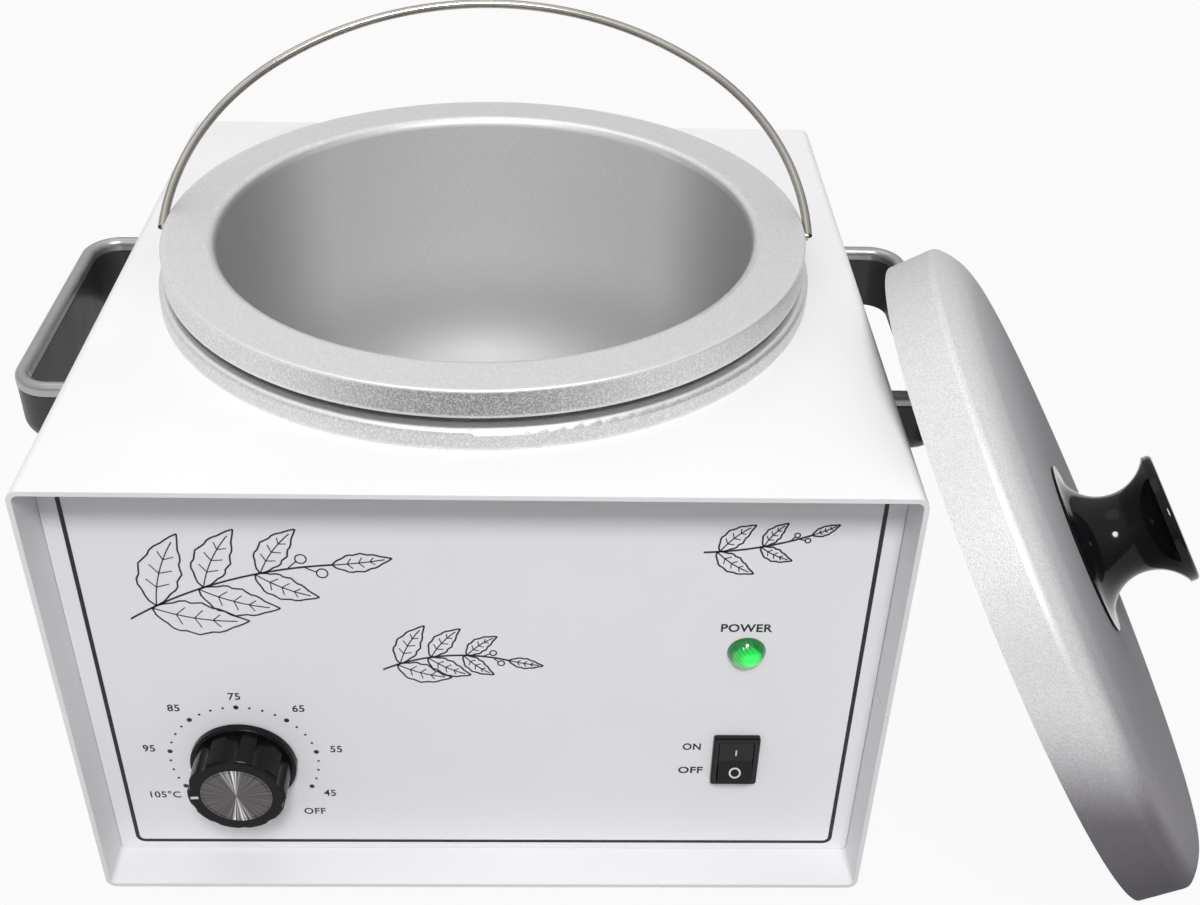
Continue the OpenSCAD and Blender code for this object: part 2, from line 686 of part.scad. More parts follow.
module switch_housing() color(black) on_front(switch_x, switch_z) difference() {
    union() {
        translate([0, -bezel_h / 2, 0]) linear_extrude(bezel_out - 0.5) round_rect(bezel_w, bezel_h, 0.8);
        translate([0, -bezel_h / 2 + 0.4, 0]) linear_extrude(bezel_out) round_rect(bezel_w - 0.8, bezel_h - 0.8, 0.6);
        translate([-switch_body_w / 2, -switch_body_h / 2, -switch_depth])
            cube([switch_body_w, switch_body_h, switch_depth + eps]);
        for (y = [-6.5, 0, 6.5]) translate([0, y, -switch_depth - 3.9]) cube([4.8, 0.8, 8], center = true);
        // snap ears behind the panel
        for (s = [-1, 1]) translate([0, s * switch_body_h / 2, -sheet_t - 2.6]) cube([5, 1.4, 5], center = true);
    }
    translate([-well_open_w / 2, -well_open_h / 2, -pocket]) cube([well_open_w, well_open_h, 20]);
    translate([0, 0, rocker_pivot]) rotate([0, 90, 0])
        cylinder(r = 1.25 + pivot_fit, h = switch_body_w - 0.3, center = true, $fn = 32);
}

// Side view of the rocker in its middle position: X outwards, Y upwards
rocker_side = [[3.2, rocker_half], [1.7, 0], [3.2, -rocker_half], [0, -rocker_half],
    [-3, -rocker_half * 0.6], [-3, rocker_half * 0.6], [0, rocker_half]];

module rocker() color(black) on_front(switch_x, switch_z)
    translate([0, 0, rocker_pivot]) rotate([-rocker_tilt, 0, 0]) translate([0, 0, -rocker_pivot]) {
        rotate([90, 0, 90]) linear_extrude(rocker_w, center = true)
            polygon([for (p = rocker_side) [p.y, p.x]]);
        translate([0, 0, rocker_pivot]) rotate([0, 90, 0])
            cylinder(r = 1.25, h = well_open_w + 0.9, center = true, $fn = 32);
    }

// ---- lamp -------------------------------------------------------------------------

lamp_body_r = lens_r - 1;
lamp_len = 22;
stem_r = lamp_body_r - 1.2;
dome_r = (lens_r * lens_r + lens_out * lens_out) / (2 * lens_out);

module lamp_holder() color(charcoal) on_front(switch_x, lamp_z) difference() {
    union() {
        translate([0, 0, -lamp_len]) cylinder(r = lamp_body_r, h = lamp_len - 0.1);
        for (s = [-1, 1]) translate([s * 2.2, 0, -lamp_len - 3]) cube([0.8, 4, 7], center = true);
    }
    translate([0, 0, -8]) cylinder(r = stem_r + 0.05, h = 10);
}

module lamp_nut() color(black) on_front(switch_x, lamp_z)
    translate([0, 0, -sheet_t - 2.5]) difference() {
        cylinder(r = lamp_body_r + 2.6, h = 2.5, $fn = 6);
        translate([0, 0, -1]) cylinder(r = lamp_body_r, h = 5);
    }

module lamp_lens() color(green) on_front(switch_x, lamp_z) {
    translate([0, 0, -7.5]) cylinder(r = stem_r, h = 7.6);
    rotate_extrude() intersection() {
        translate([0, lens_out - dome_r]) circle(dome_r, $fn = 96);
        square([lens_r, lens_out]);
    }
}

// ---- side handles -----------------------------------------------------------------

// Sweeps a section round the right handle's bow; the section's X is 0 on the outer face
module bow() for (m = [0, 1]) mirror([0, m, 0]) {
    translate([0, handle_len / 2, 0]) rotate([90, 0, 90])
        linear_extrude(handle_out - handle_corner_r) children();
    translate([handle_out - handle_corner_r, handle_len / 2 - handle_corner_r, 0])
        rotate_extrude(angle = 90) translate([handle_corner_r, 0]) children();
    translate([handle_out, handle_len / 2 - handle_corner_r, 0]) rotate([90, 0, 0])
        linear_extrude(handle_len / 2 - handle_corner_r) children();
}

band_inset = 0.2;
under_r = 7.5;

// Section of the dark band: its outer face curves in under the hand
module band_section() intersection() {
    translate([-bead_w / 2, -handle_h]) round_rect(bead_w - 2 * band_inset, handle_h - bead_h, 0.8);
    union() {
        translate([-bead_w, -handle_h + under_r]) square([bead_w, handle_h]);
        translate([-band_inset - under_r, -handle_h + under_r]) circle(under_r);
    }
}

module handle_body() difference() {
    union() {
        bow() band_section();
        // lugs that take the screws from inside the housing
        for (s = [-1, 1]) translate([lug_t / 2, s * lug_y, -bead_h - (handle_h - bead_h) / 2])
            cube([lug_t, lug_w, handle_h - bead_h - 6], center = true);
    }
    for (s = [-1, 1]) translate([-1, s * lug_y, handle_screw_z - handle_z]) rotate([0, 90, 0])
        cylinder(r = handle_screw_r, h = lug_t);
}

// Silver bead: flat-bottomed, with a half-round top
module handle_bead() bow() intersection() {
    union() {
        translate([-bead_w / 2, -bead_w / 2]) circle(bead_w / 2);
        translate([-bead_w, -bead_h]) square([bead_w, bead_h - bead_w / 2]);
    }
    translate([-bead_w, -bead_h]) square([bead_w, bead_h]);
}

module place_handle(side) mirror([side > 0 ? 0 : 1, 0, 0])
    translate([body_w / 2, handle_y, handle_z]) children();

module handle_left() color(charcoal) place_handle(-1) handle_body();
module handle_right() color(charcoal) place_handle(1) handle_body();
module handle_bead_left() color(alu) place_handle(-1) handle_bead();
module handle_bead_right() color(alu) place_handle(1) handle_bead();

module handle_screws() color(zinc)
    for (side = [-1, 1], s = [-1, 1]) place_handle(side)
        translate([-sheet_t, s * lug_y, handle_screw_z - handle_z]) rotate([0, -90, 0])
            pan_screw(handle_screw_r, sheet_t + lug_t - 1.2, 3.8, 2.4);

// ---- pot and bail -----------------------------------------------------------------

boss_r = 3.6;
skirt_base_z = rim_z - rim_skirt_h;
edge_r = 0.7;
bail_half = rim_r + wire_d / 2 + 0.3;

module pot_half() {
    difference() {
        bowl_half(pot_r + pot_t, pot_base_z, rim_z - lip_r, pot_corner_r + pot_t);
        bowl_half(pot_r, pot_floor_z, rim_z + 1, pot_corner_r);
    }
    // soft lip, flat rim, rounded outer edge and hanging skirt
    translate([pot_r + lip_r, rim_z - lip_r]) circle(lip_r);
    translate([pot_r + lip_r, rim_z - rim_t]) square([rim_r - pot_r - lip_r - edge_r, rim_t]);
    translate([rim_r - edge_r, rim_z - edge_r]) circle(edge_r);
    translate([rim_r - rim_t, skirt_base_z]) square([rim_t, rim_skirt_h - edge_r]);
}

module pot() color(alu) at_well() difference() {
    union() {
        rotate_extrude($fn = 128) pot_half();
        for (s = [0, 180]) rotate(s) translate([rim_r - 9.5, 0, pivot_z]) rotate([0, 90, 0])
            cylinder(r = boss_r, h = 9);
    }
    for (s = [0, 180]) rotate(s) translate([rim_r - 8, 0, pivot_z]) rotate([0, 90, 0])
        cylinder(r = wire_d / 2 + pivot_fit, h = 12);
}

// The bow of the bail is a three-centre arch: two side arcs and a flatter crown
side_angle = 50;
arch_k = 1 / cos(side_angle) - tan(side_angle);
side_r = (bail_rise - arch_k * bail_half) / (1 - arch_k);
crown_r = side_r + (bail_half - side_r) / cos(side_angle);
crown_drop = (crown_r - side_r) * sin(side_angle);

module wire_arc(r, a) rotate_extrude(angle = a, $fn = 128) translate([r, 0]) circle(wire_d / 2, $fn = 32);

module bail() color(steel) at_well() translate([0, 0, pivot_z]) rotate([-bail_lean, 0, 0])
    rotate([90, 0, 0]) {
        // pin, tight corner and side arc at each side, and one crown across
        for (m = [0, 180]) rotate([0, m, 0]) {
            translate([rim_r - 7, 0, 0]) rotate([0, 90, 0])
                cylinder(r = wire_d / 2, h = bail_half - rim_r + 7, $fn = 32);
            translate([bail_half, 0, 0]) sphere(wire_d / 2, $fn = 32);
            translate([bail_half - side_r, 0, 0]) wire_arc(side_r, side_angle);
            // overlap that joins the side arc to the crown
            translate([bail_half - side_r, 0, 0]) rotate(side_angle) translate([side_r, 0, 0])
                sphere(wire_d / 2 + 0.03, $fn = 32);
        }
        translate([0, -crown_drop, 0]) rotate(side_angle) wire_arc(crown_r, 180 - 2 * side_angle);
    }

// ---- lid --------------------------------------------------------------------------

// The lid leans on the right handle's bead and on the housing's top right edge
lid_axis = [cos(lid_tilt) * cos(lid_turn), cos(lid_tilt) * sin(lid_turn), sin(lid_tilt)];
lid_z = lid_r * cos(lid_tilt) + 0.1;
bead_r = bead_w / 2;

// X of the lid's centre at which its rim plane passes gap in front of the point p
function lean_x(p, gap) = p.x + ((p.y - lid_y) * lid_axis.y + (p.z - lid_z) * lid_axis.z + gap) / lid_axis.x;

lean_bead = [body_w / 2 + handle_out - bead_r, lid_y + 92.5, handle_z - bead_r];
lean_edge = [body_w / 2, -body_d / 2, top_z];
lid_x = max(lean_x(lean_bead, bead_r + lean_gap), lean_x(lean_edge, lean_gap));

module at_lid() translate([lid_x, lid_y, lid_z]) rotate([0, 90 - lid_tilt, lid_turn]) children();

// Half section of the lid as a filled shape: flat top, shoulder arc, corner and skirt
module lid_cup(r, h, shoulder, edge) {
    flat_r = lid_r - lid_shoulder_w;
    reach = r - edge - flat_r;
    corner_z = h - shoulder + sqrt((shoulder - edge) * (shoulder - edge) - reach * reach);
    square([flat_r, h]);
    square([r, corner_z]);
    intersection() {
        translate([flat_r, h - shoulder]) circle(shoulder, $fn = 96);
        translate([flat_r - 1, 0]) square([1 + reach * shoulder / (shoulder - edge), h]);
    }
    translate([r - edge, corner_z]) circle(edge);
}

module lid_shell() color(alu) at_lid() difference() {
    rotate_extrude($fn = 128) difference() {
        lid_cup(lid_r, lid_h, lid_shoulder_r, lid_edge_r);
        lid_cup(lid_r - lid_t, lid_h - lid_t, lid_shoulder_r - lid_t, lid_edge_r - lid_t);
        translate([0, -1]) square([lid_r - lid_t, 2]);
    }
    cylinder(r = grip_screw_r + 0.2, h = 2 * lid_h);
}

grip_screw_r = 2.5;
foot_arc_r = grip_neck_h - 0.8;
head_arc_h = grip_h - 3 - grip_neck_h;
head_flare = grip_head_r - grip_neck_r;
head_arc_r = (head_flare * head_flare + head_arc_h * head_arc_h) / (2 * head_flare);

module lid_knob() color(black) at_lid() translate([0, 0, lid_h]) difference() {
    rotate_extrude($fn = 96) {
        difference() {
            square([grip_foot_r, grip_neck_h]);
            translate([grip_neck_r + foot_arc_r, grip_neck_h]) circle(foot_arc_r);
        }
        difference() {
            translate([0, grip_neck_h]) square([grip_head_r, head_arc_h]);
            translate([grip_neck_r + head_arc_r, grip_neck_h]) circle(head_arc_r, $fn = 96);
        }
        translate([0, grip_neck_h + head_arc_h - eps]) square([grip_head_r, 1.6]);
        translate([grip_head_r - 1.4, grip_h - 1.4]) circle(1.4);
        translate([0, grip_h - 3]) square([grip_head_r - 1.4, 3]);
        square([grip_neck_r, grip_h]);
    }
    translate([0, 0, -1]) cylinder(r = grip_screw_r, h = 17);
}

module lid_washer() color(zinc) at_lid() translate([0, 0, lid_h - lid_t - 1.2]) difference() {
    cylinder(r = 7, h = 1.2);
    translate([0, 0, -1]) cylinder(r = grip_screw_r + 0.2, h = 4);
}

module lid_screw() color(zinc) at_lid() translate([0, 0, lid_h - lid_t - 1.2]) rotate([180, 0, 0])
    pan_screw(grip_screw_r, lid_t + 1.2 + 14, 4.6, 3);

// ---- nodes ------------------------------------------------------------------------

upper_cover();
base_tray();
front_panel();
rear_panel();
cover_screws();
panel_rivets();
cord_gland();
foot_front_left();
foot_front_right();
foot_rear_left();
foot_rear_right();
foot_screws();
heating_well();
band_heater();
band_bolt();
wool_wrap();
wool_pad();
well_stand();
stand_rivets();
thermal_cutout();
thermostat_body();
thermostat_shaft();
thermostat_screws();
sensor_bulb();
terminal_block();
terminal_screws();
thermostat_knob();
knob_disc();
switch_housing();
rocker();
lamp_holder();
lamp_nut();
lamp_lens();
handle_left();
handle_right();
handle_bead_left();
handle_bead_right();
handle_screws();
pot();
bail();
lid_shell();
lid_knob();
lid_screw();
lid_washer();
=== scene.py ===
"""Candle wax melter: finishes, printed marks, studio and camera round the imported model."""
import json
from math import cos, pi, radians, sin

import bmesh
import bpy
from mathutils import Matrix, Vector


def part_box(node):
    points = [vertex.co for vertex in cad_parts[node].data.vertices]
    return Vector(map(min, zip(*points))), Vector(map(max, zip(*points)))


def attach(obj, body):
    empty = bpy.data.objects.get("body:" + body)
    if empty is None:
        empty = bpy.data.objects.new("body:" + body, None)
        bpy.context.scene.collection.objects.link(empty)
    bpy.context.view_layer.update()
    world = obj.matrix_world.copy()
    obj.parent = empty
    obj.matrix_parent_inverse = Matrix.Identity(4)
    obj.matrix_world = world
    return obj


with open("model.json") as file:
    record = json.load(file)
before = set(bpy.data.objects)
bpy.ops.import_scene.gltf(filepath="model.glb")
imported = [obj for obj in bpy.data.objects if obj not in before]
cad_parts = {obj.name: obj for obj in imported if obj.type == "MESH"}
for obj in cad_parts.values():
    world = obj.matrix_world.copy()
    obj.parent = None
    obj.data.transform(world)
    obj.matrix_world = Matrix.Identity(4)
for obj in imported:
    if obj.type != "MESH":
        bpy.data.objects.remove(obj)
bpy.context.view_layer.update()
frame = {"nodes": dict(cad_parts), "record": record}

NODES = frame["nodes"]


def mm(*sizes):
    """Millimetres to metres: one number, or a vector of several."""
    return sizes[0] / 1000 if len(sizes) == 1 else Vector(sizes) / 1000


def middle(node):
    low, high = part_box(node)
    return (Vector(low) + Vector(high)) / 2


# ---- sizes and places, read off the frame where a node gives them --------------------

PANEL_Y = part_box("front_panel")[0][1]
KNOB_FRONT_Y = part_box("thermostat_knob")[0][1]
HOUSING_H = mm(162)
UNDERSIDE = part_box("upper_cover")[1][2] - HOUSING_H

WELL = middle("pot")
POT_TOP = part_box("pot")[1][2]
POT_R, POT_RIM_H = mm(105.5), mm(9)
MOUTH_R = mm(88)
COLLAR_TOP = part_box("heating_well")[1][2]
COLLAR_R, COLLAR_H = mm(107.5), mm(6.7)

DIAL = middle("thermostat_knob")
SWITCH = middle("switch_housing")
LAMP = middle("lamp_lens")

LID_GRIP = middle("lid_knob")
LID_R, LID_FACE_R = mm(110), mm(104)
LID_TILT, LID_TURN = radians(30.8), radians(-5)
LID_AXIS = Vector((cos(LID_TILT) * cos(LID_TURN), cos(LID_TILT) * sin(LID_TURN), sin(LID_TILT)))


# ---- camera --------------------------------------------------------------------------

def make_camera():
    """Stands where the photograph was taken from, worked out from the housing's edges."""
    data = bpy.data.cameras.new("camera")
    data.sensor_fit = "HORIZONTAL"
    data.sensor_width = 36
    data.lens = 44.65
    data.shift_x = 0.0039
    data.shift_y = 0.0483
    data.clip_start = 0.01
    data.clip_end = 50
    camera = bpy.data.objects.new("camera", data)
    bpy.context.scene.collection.objects.link(camera)
    place = (0.023147, -0.452539, 0.406969)
    right = Vector((0.99962951, -0.01573592, 0.02220883))
    down = Vector((0.00841709, -0.59723354, -0.80202322))
    ahead = Vector((0.02588443, 0.80191301, -0.59687982))
    turn = Matrix((right, -down, -ahead)).transposed().to_4x4()
    camera.matrix_world = Matrix.Translation(place) @ turn
    bpy.context.scene.camera = camera


# ---- shader maths --------------------------------------------------------------------

class Value:
    """A shader socket that takes part in Python arithmetic."""

    def __init__(self, look, socket):
        self.look = look
        self.socket = socket

    def math(self, operation, *values):
        return self.look.node("Math", {"operation": operation}, *values)

    def __add__(self, other): return self.math("ADD", self, other)
    def __radd__(self, other): return self.math("ADD", other, self)
    def __sub__(self, other): return self.math("SUBTRACT", self, other)
    def __rsub__(self, other): return self.math("SUBTRACT", other, self)
    def __mul__(self, other): return self.math("MULTIPLY", self, other)
    def __rmul__(self, other): return self.math("MULTIPLY", other, self)
    def __truediv__(self, other): return self.math("DIVIDE", self, other)
    def __rtruediv__(self, other): return self.math("DIVIDE", other, self)
    def __abs__(self): return self.math("ABSOLUTE", self)
    def sqrt(self): return self.math("SQRT", self)
    def sin(self): return self.math("SINE", self)
    def most(self, other): return self.math("MAXIMUM", self, other)

    def rise(self, low, high, to_low=0, to_high=1):
        """Runs smoothly from to_low to to_high while the value goes from low to high."""
        settings = {"interpolation_type": "SMOOTHSTEP", "clamp": True}
        return self.look.node("MapRange", settings, self, low, high, to_low, to_high)

    def near(self, place, reach):
        """1 at a place, falling to 0 at reach on either side."""
        return abs(self - place).rise(0, reach, 1, 0)


class Look:
    """A material under construction round one Principled shader."""

    def __init__(self, name, **fixed):
        self.material = bpy.data.materials.new(name)
        self.material.use_nodes = True
        self.tree = self.material.node_tree
        self.shader = self.tree.nodes["Principled BSDF"]
        for socket, value in fixed.items():
            self.set(socket.replace("_", " "), value)

    def set(self, socket, value):
        """Gives a socket of the shader a number, a colour or a link."""
        self.feed(self.shader.inputs[socket], value)

    def feed(self, target, value):
        if isinstance(value, Value):
            self.tree.links.new(value.socket, target)
        elif isinstance(value, tuple) and len(value) == 3 and target.type == "RGBA":
            target.default_value = (*value, 1)
        else:
            target.default_value = value

    def node(self, kind, settings=None, *values, out=0, **named):
        """Adds a node; its sockets take values in order, or by name."""
        node = self.tree.nodes.new("ShaderNode" + kind)
        for key, value in (settings or {}).items():
            setattr(node, key, value)
        for target, value in zip(node.inputs, values):
            self.feed(target, value)
        for key, value in named.items():
            self.feed(node.inputs[key.replace("_", " ")], value)
        return Value(self, node.outputs[out])

    def place(self, centre=None):
        """Object coordinates, measured from a centre if one is given."""
        point = self.node("TexCoord", out="Object")
        if centre is None:
            return point
        return self.node("VectorMath", {"operation": "SUBTRACT"}, point, tuple(centre))

    def parts(self, point):
        split = self.node("SeparateXYZ", None, point).socket.node
        return [Value(self, socket) for socket in split.outputs]

    def noise(self, point, scale, detail=2, roughness=0.5):
        return self.node("TexNoise", None, Vector=point, Scale=scale, Detail=detail,
                         Roughness=roughness)

    def mix(self, share, first, second):
        """The first colour, or the second one where share is 1."""
        node = self.tree.nodes.new("ShaderNodeMix")
        node.data_type = "RGBA"
        self.feed(node.inputs[0], share)
        self.feed(node.inputs[6], first)
        self.feed(node.inputs[7], second)
        return Value(self, node.outputs[2])

    def bump(self, height, depth, strength):
        """Height runs 0 to 1 and depth is in metres."""
        bump = self.node("Bump", None, Height=height, Distance=depth, Strength=strength)
        self.set("Normal", bump)


# ---- finishes ------------------------------------------------------------------------

def enamel_look(name, dull, clean):
    """Powder coat: fine orange peel and a few dull patches."""
    look = Look(name, Specular_IOR_Level=0.4)
    at = look.place()
    patch = look.noise(at, 9, 3)
    peel = look.noise(at, 900)
    look.set("Base Color", look.mix(patch.rise(0.35, 0.7), dull, clean))
    look.set("Roughness", patch.rise(0.3, 0.7, 0.36, 0.46))
    look.bump(peel, mm(0.03), 0.35)
    return look


def grain(look, at, size):
    """Fine sparkle of a blasted surface: two sizes of grain, from 0 to 1."""
    fine = look.noise(at, 1 / size, 3, 0.7)
    coarse = look.noise(at, 0.3 / size)
    return (fine * 0.88 + coarse * 0.12).rise(0.36, 0.64, 0, 1)


def casting_look(name, ring_radius, top_z, base_z, dim, bright):
    """Blasted aluminium casting: matt rim and bowl, a turned side that glitters, bright edges,
    with painted shade in the bowl and a painted reflection on the turned side.
    """
    look = Look(name)
    at = look.place((WELL.x, WELL.y, 0))
    x, y, z = look.parts(at)
    radius = (x * x + y * y).sqrt()
    aside = abs(x) / radius
    speck = grain(look, at, mm(0.55))

    # where the rim's side, its two edges, its flat top and the bowl are
    outer = radius.rise(ring_radius - mm(2.4), ring_radius - mm(0.9))
    side = outer * z.rise(top_z - mm(0.2), top_z - mm(0.9))
    edge_w = mm(0.8)
    edges = z.near(top_z - mm(0.3), edge_w).most(z.near(base_z + mm(0.4), edge_w)) * outer
    lip_low, lip_high = top_z - mm(1.5), top_z - mm(0.4)
    flat = z.rise(lip_low, lip_high)
    bowl = radius.rise(MOUTH_R, MOUTH_R + mm(1), 1, 0) * z.rise(lip_low, lip_high, 1, 0)
    # painted shade in the bowl, growing towards its bottom
    depth = z.rise(top_z - mm(50), top_z - mm(98)) * 0.6

    # the matt parts: painted shade darkens the bowl to the left, to the right and downwards
    bowl_shade = look.mix(aside.rise(0.66, 1), (0.8, 0.79, 0.8), (0.4, 0.395, 0.4))
    bowl_shade = look.mix(bowl, (0.6, 0.59, 0.6), bowl_shade)
    matt = look.mix(flat, look.mix(depth, bowl_shade, (0.3, 0.3, 0.3)), (0.94, 0.93, 0.935))

    # the turned side: painted reflection, dimmer in front than on its flanks
    glitter = look.noise(at, 1500, 2, 0.8).rise(0.42, 0.66)
    front = look.mix(glitter, dim, bright)
    flank_sheen = look.mix(glitter, (0.7, 0.7, 0.705), (0.92, 0.92, 0.92))
    turned = look.mix(aside.rise(0.05, 0.65), front, flank_sheen)

    plain = look.mix(speck * 0.26, look.mix(side, matt, turned), (0.5, 0.5, 0.5))
    look.set("Base Color", look.mix(edges * 0.5, plain, (0.95, 0.95, 0.95)))
    look.set("Metallic", 0.85 - bowl * 0.25)
    look.set("Roughness", speck.rise(0, 1, 0.46, 0.38) + bowl * 0.2 + side * 0.06)
    look.bump(speck, mm(0.02), 0.4)
    return look


def lid_look():
    """Spun and blasted sheet with painted shade that gets darker downwards, its side faster than
    its face.
    """
    look = Look("lid_steel", Specular_IOR_Level=0.0, Specular_Tint=(0.3, 0.3, 0.32))
    at = look.place(LID_GRIP)
    x, y, z = look.parts(at)
    along = x * LID_AXIS.x + y * LID_AXIS.y + z * LID_AXIS.z
    radius = (x * x + y * y + z * z - along * along).most(0).sqrt()
    face = radius.rise(LID_R, LID_FACE_R)
    speck = grain(look, at, mm(0.5))
    plain = look.mix(speck, (0.64, 0.63, 0.64), (0.8, 0.79, 0.8))
    # painted shade: darker towards the bottom of the side and of the face
    side_shade = z.rise(mm(24), mm(-19)) * (1 - face) * 0.86
    face_shade = z.rise(mm(140), mm(-10)) * face * 0.66
    look.set("Base Color", look.mix(side_shade + face_shade, plain, (0.09, 0.08, 0.1)))
    look.set("Metallic", 0.36 - face * 0.26)
    look.set("Roughness", speck.rise(0, 1, 0.46, 0.38))
    look.bump(speck, mm(0.06), 0.4)
    return look


def plain_look(name, colour, rough, grain_size=0.6, depth=0.02, metallic=0, **fixed):
    """Moulded, plated or pressed surface with a fine grain (in mm) and uneven gloss."""
    look = Look(name, Metallic=metallic, **fixed)
    at = look.place()
    fine = look.noise(at, 1 / mm(grain_size))
    patch = look.noise(at, 60)
    dark = tuple(c * 0.88 for c in colour)
    look.set("Base Color", look.mix(patch.rise(0.3, 0.7), dark, colour))
    look.set("Roughness", patch.rise(0.3, 0.7, rough - 0.04, rough + 0.05))
    look.bump(fine, mm(depth), 0.4)
    return look


def wire_look():
    """Drawn steel wire with fine marks and a warm tone."""
    look = Look("wire", Metallic=1.0)
    at = look.place()
    tint = look.noise(at, 40)
    warm = look.mix(tint.rise(0.3, 0.7), (0.4, 0.38, 0.355), (0.5, 0.475, 0.445))
    look.set("Base Color", warm)
    look.set("Roughness", tint.rise(0.3, 0.7, 0.27, 0.31))
    return look


def spun_look():
    """Dark disc turned on a lathe: fine rings, and bright streaks of painted reflection across
    them.
    """
    look = Look("spun_disc", Metallic=1.0)
    at = look.place(DIAL)
    x, y, z = look.parts(at)
    radius = (x * x + z * z).sqrt()
    angle = look.node("Math", {"operation": "ARCTAN2"}, z, x)
    ring_pitch = mm(0.32)
    rings = (radius * (2 * pi / ring_pitch)).sin()
    # painted highlight: a bright wedge across the disc, and painted reflection streaks round it
    highlight_wedge = (angle * 2 - 1.65).sin().rise(0.72, 1)
    round_about = look.node("CombineXYZ", None, angle * 9, 0.0, 0.0)
    streak = look.noise(round_about, 1.3, 3).rise(0.4, 0.66)
    painted_sheen = highlight_wedge * streak * 0.9 + streak * 0.09 + 0.02
    look.set("Base Color", look.mix(painted_sheen, (0.075, 0.067, 0.071), (0.95, 0.94, 0.96)))
    look.set("Roughness", 0.28)
    look.bump(rings, mm(0.02), 0.3)
    return look


def lens_look():
    """Green moulded lens, lit from behind, with slanting prisms inside a clear, darker edge."""
    look = Look("green_lens", Roughness=0.08, Coat_Weight=0.8)
    at = look.place(LAMP)
    x, y, z = look.parts(at)
    rib_pitch = mm(1.15)
    ribs = ((x + z) * (2 * pi / rib_pitch * sin(pi / 4))).sin().rise(-1, 1)
    radius = (x * x + z * z).sqrt()
    inside = radius.rise(mm(3.9), mm(4.9), 1, 0)
    right, up = x - mm(1.2), z + mm(0.2)
    lit = (right * right + up * up).sqrt().rise(mm(0.6), mm(4.6), 1, 0)
    glow = inside * (lit * 0.75 + 0.2 + ribs * (1 - lit) * 0.25)
    look.set("Base Color", look.mix(glow, (0.0, 0.13, 0.025), (0.0, 0.6, 0.08)))
    look.set("Emission Color", look.mix(glow, (0.0, 0.055, 0.006), (0.0, 0.92, 0.07)))
    look.set("Emission Strength", 0.85)
    look.bump(ribs * inside, mm(0.15), 0.5)
    return look


def ink_look(name, thick, thin):
    """Screen-printed ink, a little thinner in places."""
    look = Look(name, Roughness=0.5)
    at = look.place()
    wear = look.noise(at, 1500)
    look.set("Base Color", look.mix(wear.rise(0.4, 0.7), thick, thin))
    return look


def wool_look():
    """Matted strands, longer upwards than across."""
    look = Look("glass_wool", Roughness=0.95)
    stretched = look.node("Mapping", None, Vector=look.place(), Scale=(700, 700, 90))
    strands = look.noise(stretched, 1, 4, 0.7)
    look.set("Base Color", look.mix(strands, (0.62, 0.58, 0.46), (0.85, 0.82, 0.72)))
    look.bump(strands, mm(0.8), 0.8)
    return look


def dress_frame():
    """Gives every CAD node the finish of its record slot."""
    pot = casting_look("cast_alloy", POT_R, POT_TOP, POT_TOP - POT_RIM_H,
                       (0.24, 0.24, 0.245), (0.54, 0.54, 0.545))
    collar = casting_look("turned_collar", COLLAR_R, COLLAR_TOP, COLLAR_TOP - COLLAR_H,
                          (0.62, 0.62, 0.625), (0.84, 0.84, 0.845))
    panel = enamel_look("panel_enamel", (0.85, 0.845, 0.875), (0.88, 0.875, 0.905))
    special = {"heating_well": collar, "front_panel": panel}
    looks = {
        "white_enamel": enamel_look("white_enamel", (0.79, 0.79, 0.8), (0.82, 0.82, 0.83)),
        "zinc": plain_look("zinc", (0.62, 0.63, 0.65), 0.32, metallic=1.0),
        "black_nylon": plain_look("black_nylon", (0.006, 0.006, 0.007), 0.4, 0.4, 0.03,
                                  Specular_IOR_Level=0.3),
        "foot_rubber": plain_look("foot_rubber", (0.025, 0.025, 0.026), 0.8, 0.8, 0.08),
        "cast_alloy": pot,
        "steel": plain_look("steel", (0.5, 0.49, 0.47), 0.4, metallic=1.0),
        "glass_wool": wool_look(),
        "copper": plain_look("copper", (0.72, 0.42, 0.28), 0.3, metallic=1.0),
        "ceramic": plain_look("ceramic", (0.85, 0.83, 0.76), 0.25),
        "green_lens": lens_look(),
        "charcoal_plastic": plain_look("charcoal_plastic", (0.03, 0.03, 0.031), 0.38, 0.5, 0.03),
        "silver_trim": plain_look("silver_trim", (0.47, 0.46, 0.455), 0.34, 0.4, metallic=0.8),
        "black_knob": plain_look("black_knob", (0.005, 0.005, 0.006), 0.22, 0.5, 0.015,
                                 Specular_IOR_Level=0.15),
        "spun_disc": spun_look(),
        "wire": wire_look(),
        "lid_steel": lid_look(),
        "black_gloss": plain_look("black_gloss", (0.006, 0.006, 0.007), 0.1, 1.5, 0.01,
                                  Specular_IOR_Level=0.2),
    }
    for part in frame["record"]["subparts"]:
        look = special.get(part["node"], looks[part["material_slot"]])
        slots = NODES[part["node"]].data.materials
        slots.clear()
        slots.append(look.material)


# ---- printed marks -------------------------------------------------------------------

INK_T = mm(0.06)
UPRIGHT = Matrix.Rotation(pi / 2, 4, "X")


def print_piece(name, draw, look, body="base"):
    """Turns what draw adds to an empty mesh into an inked piece that rides on a body."""
    mesh = bpy.data.meshes.new(name)
    shape = bmesh.new()
    draw(shape)
    bmesh.ops.remove_doubles(shape, verts=shape.verts, dist=mm(0.002))
    bmesh.ops.recalc_face_normals(shape, faces=shape.faces)
    shape.to_mesh(mesh)
    shape.free()
    mesh.materials.append(look.material)
    piece = bpy.data.objects.new(name, mesh)
    bpy.context.scene.collection.objects.link(piece)
    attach(piece, body)


def faces_of(verts):
    return list({face for vert in verts for face in vert.link_faces})


def since(shape, before):
    """The vertices that came to the shape after the ones in before."""
    return [vert for vert in shape.verts if vert not in before]


